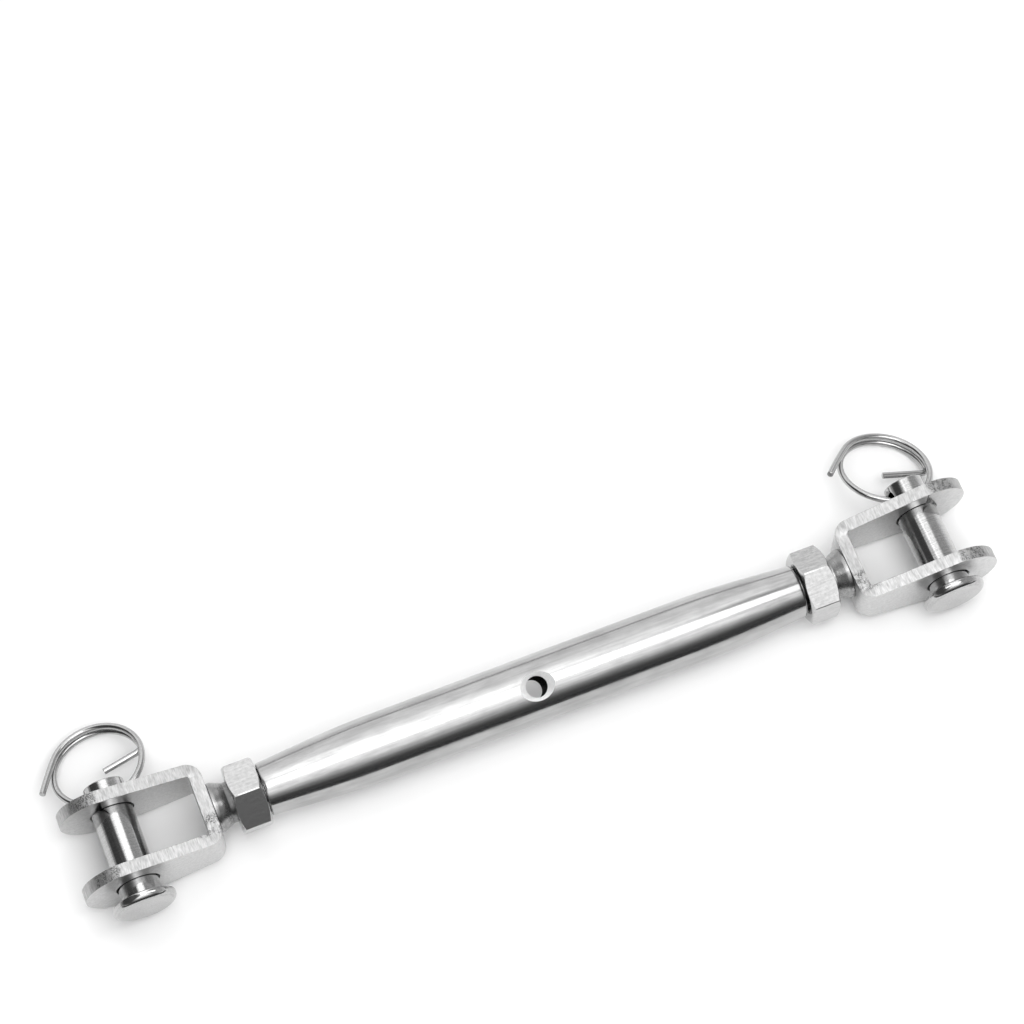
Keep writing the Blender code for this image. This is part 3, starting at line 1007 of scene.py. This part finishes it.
def area_light(name, size, place, level, in_gloss):
    """A light of a given radiance that the camera doesn't see."""
    data = bpy.data.lights.new(name, "AREA")
    data.shape = "RECTANGLE"
    data.size = size[0]
    data.size_y = size[1]
    data.energy = level * math.pi * size[0] * size[1]
    item = bpy.data.objects.new(name, data)
    item.location = place
    if not in_gloss:
        item.rotation_euler = (AIM - Vector(place)).to_track_quat("-Z", "Y").to_euler()
    item.visible_camera = False
    item.visible_glossy = in_gloss
    bpy.context.scene.collection.objects.link(item)


pale_floor()
dark_flag()
for light in LIGHTS:
    area_light(*light)

world = bpy.data.worlds.new("tent")
bpy.context.scene.world = world
world.use_nodes = True
wn, wl = world.node_tree.nodes, world.node_tree.links
background = wn["Background"]


def math_node(operation, *values):
    return blend(wn, wl, operation, *values)


coord = wn.new("ShaderNodeTexCoord")
split = wn.new("ShaderNodeSeparateXYZ")
wl.new(coord.outputs["Generated"], split.inputs[0])
steep = math_node("ARCSINE", split.outputs["Z"])
level = math_node("MULTIPLY_ADD", steep, 1.0 / math.pi, 0.5)


def wall(stops):
    """Radiance by steepness, as a smooth ramp, divided by STOP_SCALE."""
    node = wn.new("ShaderNodeValToRGB")
    node.color_ramp.interpolation = "EASE"
    fill_ramp(node.color_ramp, [(angle / 180.0 + 0.5, value / STOP_SCALE) for angle, value in stops])
    wl.new(level, node.inputs["Fac"])
    return node.outputs["Color"]


along_x = math_node("MULTIPLY", split.outputs["X"], split.outputs["X"])
along_y = math_node("MULTIPLY", split.outputs["Y"], split.outputs["Y"])
flat = math_node("MAXIMUM", math_node("ADD", along_x, along_y), TINY)
along_y_share = math_node("DIVIDE", along_y, flat)
to_right = math_node("GREATER_THAN", split.outputs["X"], 0.0)
to_left = math_node("SUBTRACT", 1.0, to_right)
right_turn = math_node("MULTIPLY", smooth_step(wn, wl, along_y_share, *RIGHT_TURN), to_right)
left_turn = math_node("MULTIPLY", smooth_step(wn, wl, along_y_share, *LEFT_TURN), to_left)
north_share = math_node("ADD", right_turn, left_turn)
east_share = math_node("SUBTRACT", 1.0, north_share)
walls = ((BACK, "Y", 1.0, north_share), (FRONT, "Y", -1.0, north_share))
walls += ((RIGHT, "X", 1.0, east_share), (LEFT, "X", -1.0, east_share))
total = None
for stops, axis, sign, share in walls:
    facing = math_node("GREATER_THAN", math_node("MULTIPLY", split.outputs[axis], sign), 0.0)
    part = math_node("MULTIPLY", wall(stops), math_node("MULTIPLY", facing, share))
    total = part if total is None else math_node("ADD", total, part)
wl.new(math_node("MULTIPLY", total, STOP_SCALE), background.inputs["Color"])
background.inputs["Strength"].default_value = TENT_LEVEL

# The photograph's viewpoint: a place in millimetres and directions in the frame.
CAM_PLACE = Vector((-78.372, -196.150, 592.907)) * MM
CAM_RIGHT = Vector((0.930388, -0.366577, 0.0))
CAM_FORWARD = Vector((0.140120, 0.355630, -0.924064))
CAM_LENS = 113.53

cam_data = bpy.data.cameras.new("camera")
cam_data.lens = CAM_LENS
cam_data.sensor_width = 36.0
cam_data.clip_start = 0.01
cam = bpy.data.objects.new("camera", cam_data)
bpy.context.scene.collection.objects.link(cam)
cam_up = CAM_RIGHT.cross(CAM_FORWARD).normalized()
turn = Matrix((CAM_RIGHT, cam_up, -CAM_FORWARD)).transposed()
cam.matrix_world = Matrix.Translation(CAM_PLACE) @ turn.to_4x4()
bpy.context.scene.camera = cam

bpy.context.scene.view_settings.view_transform = "Standard"
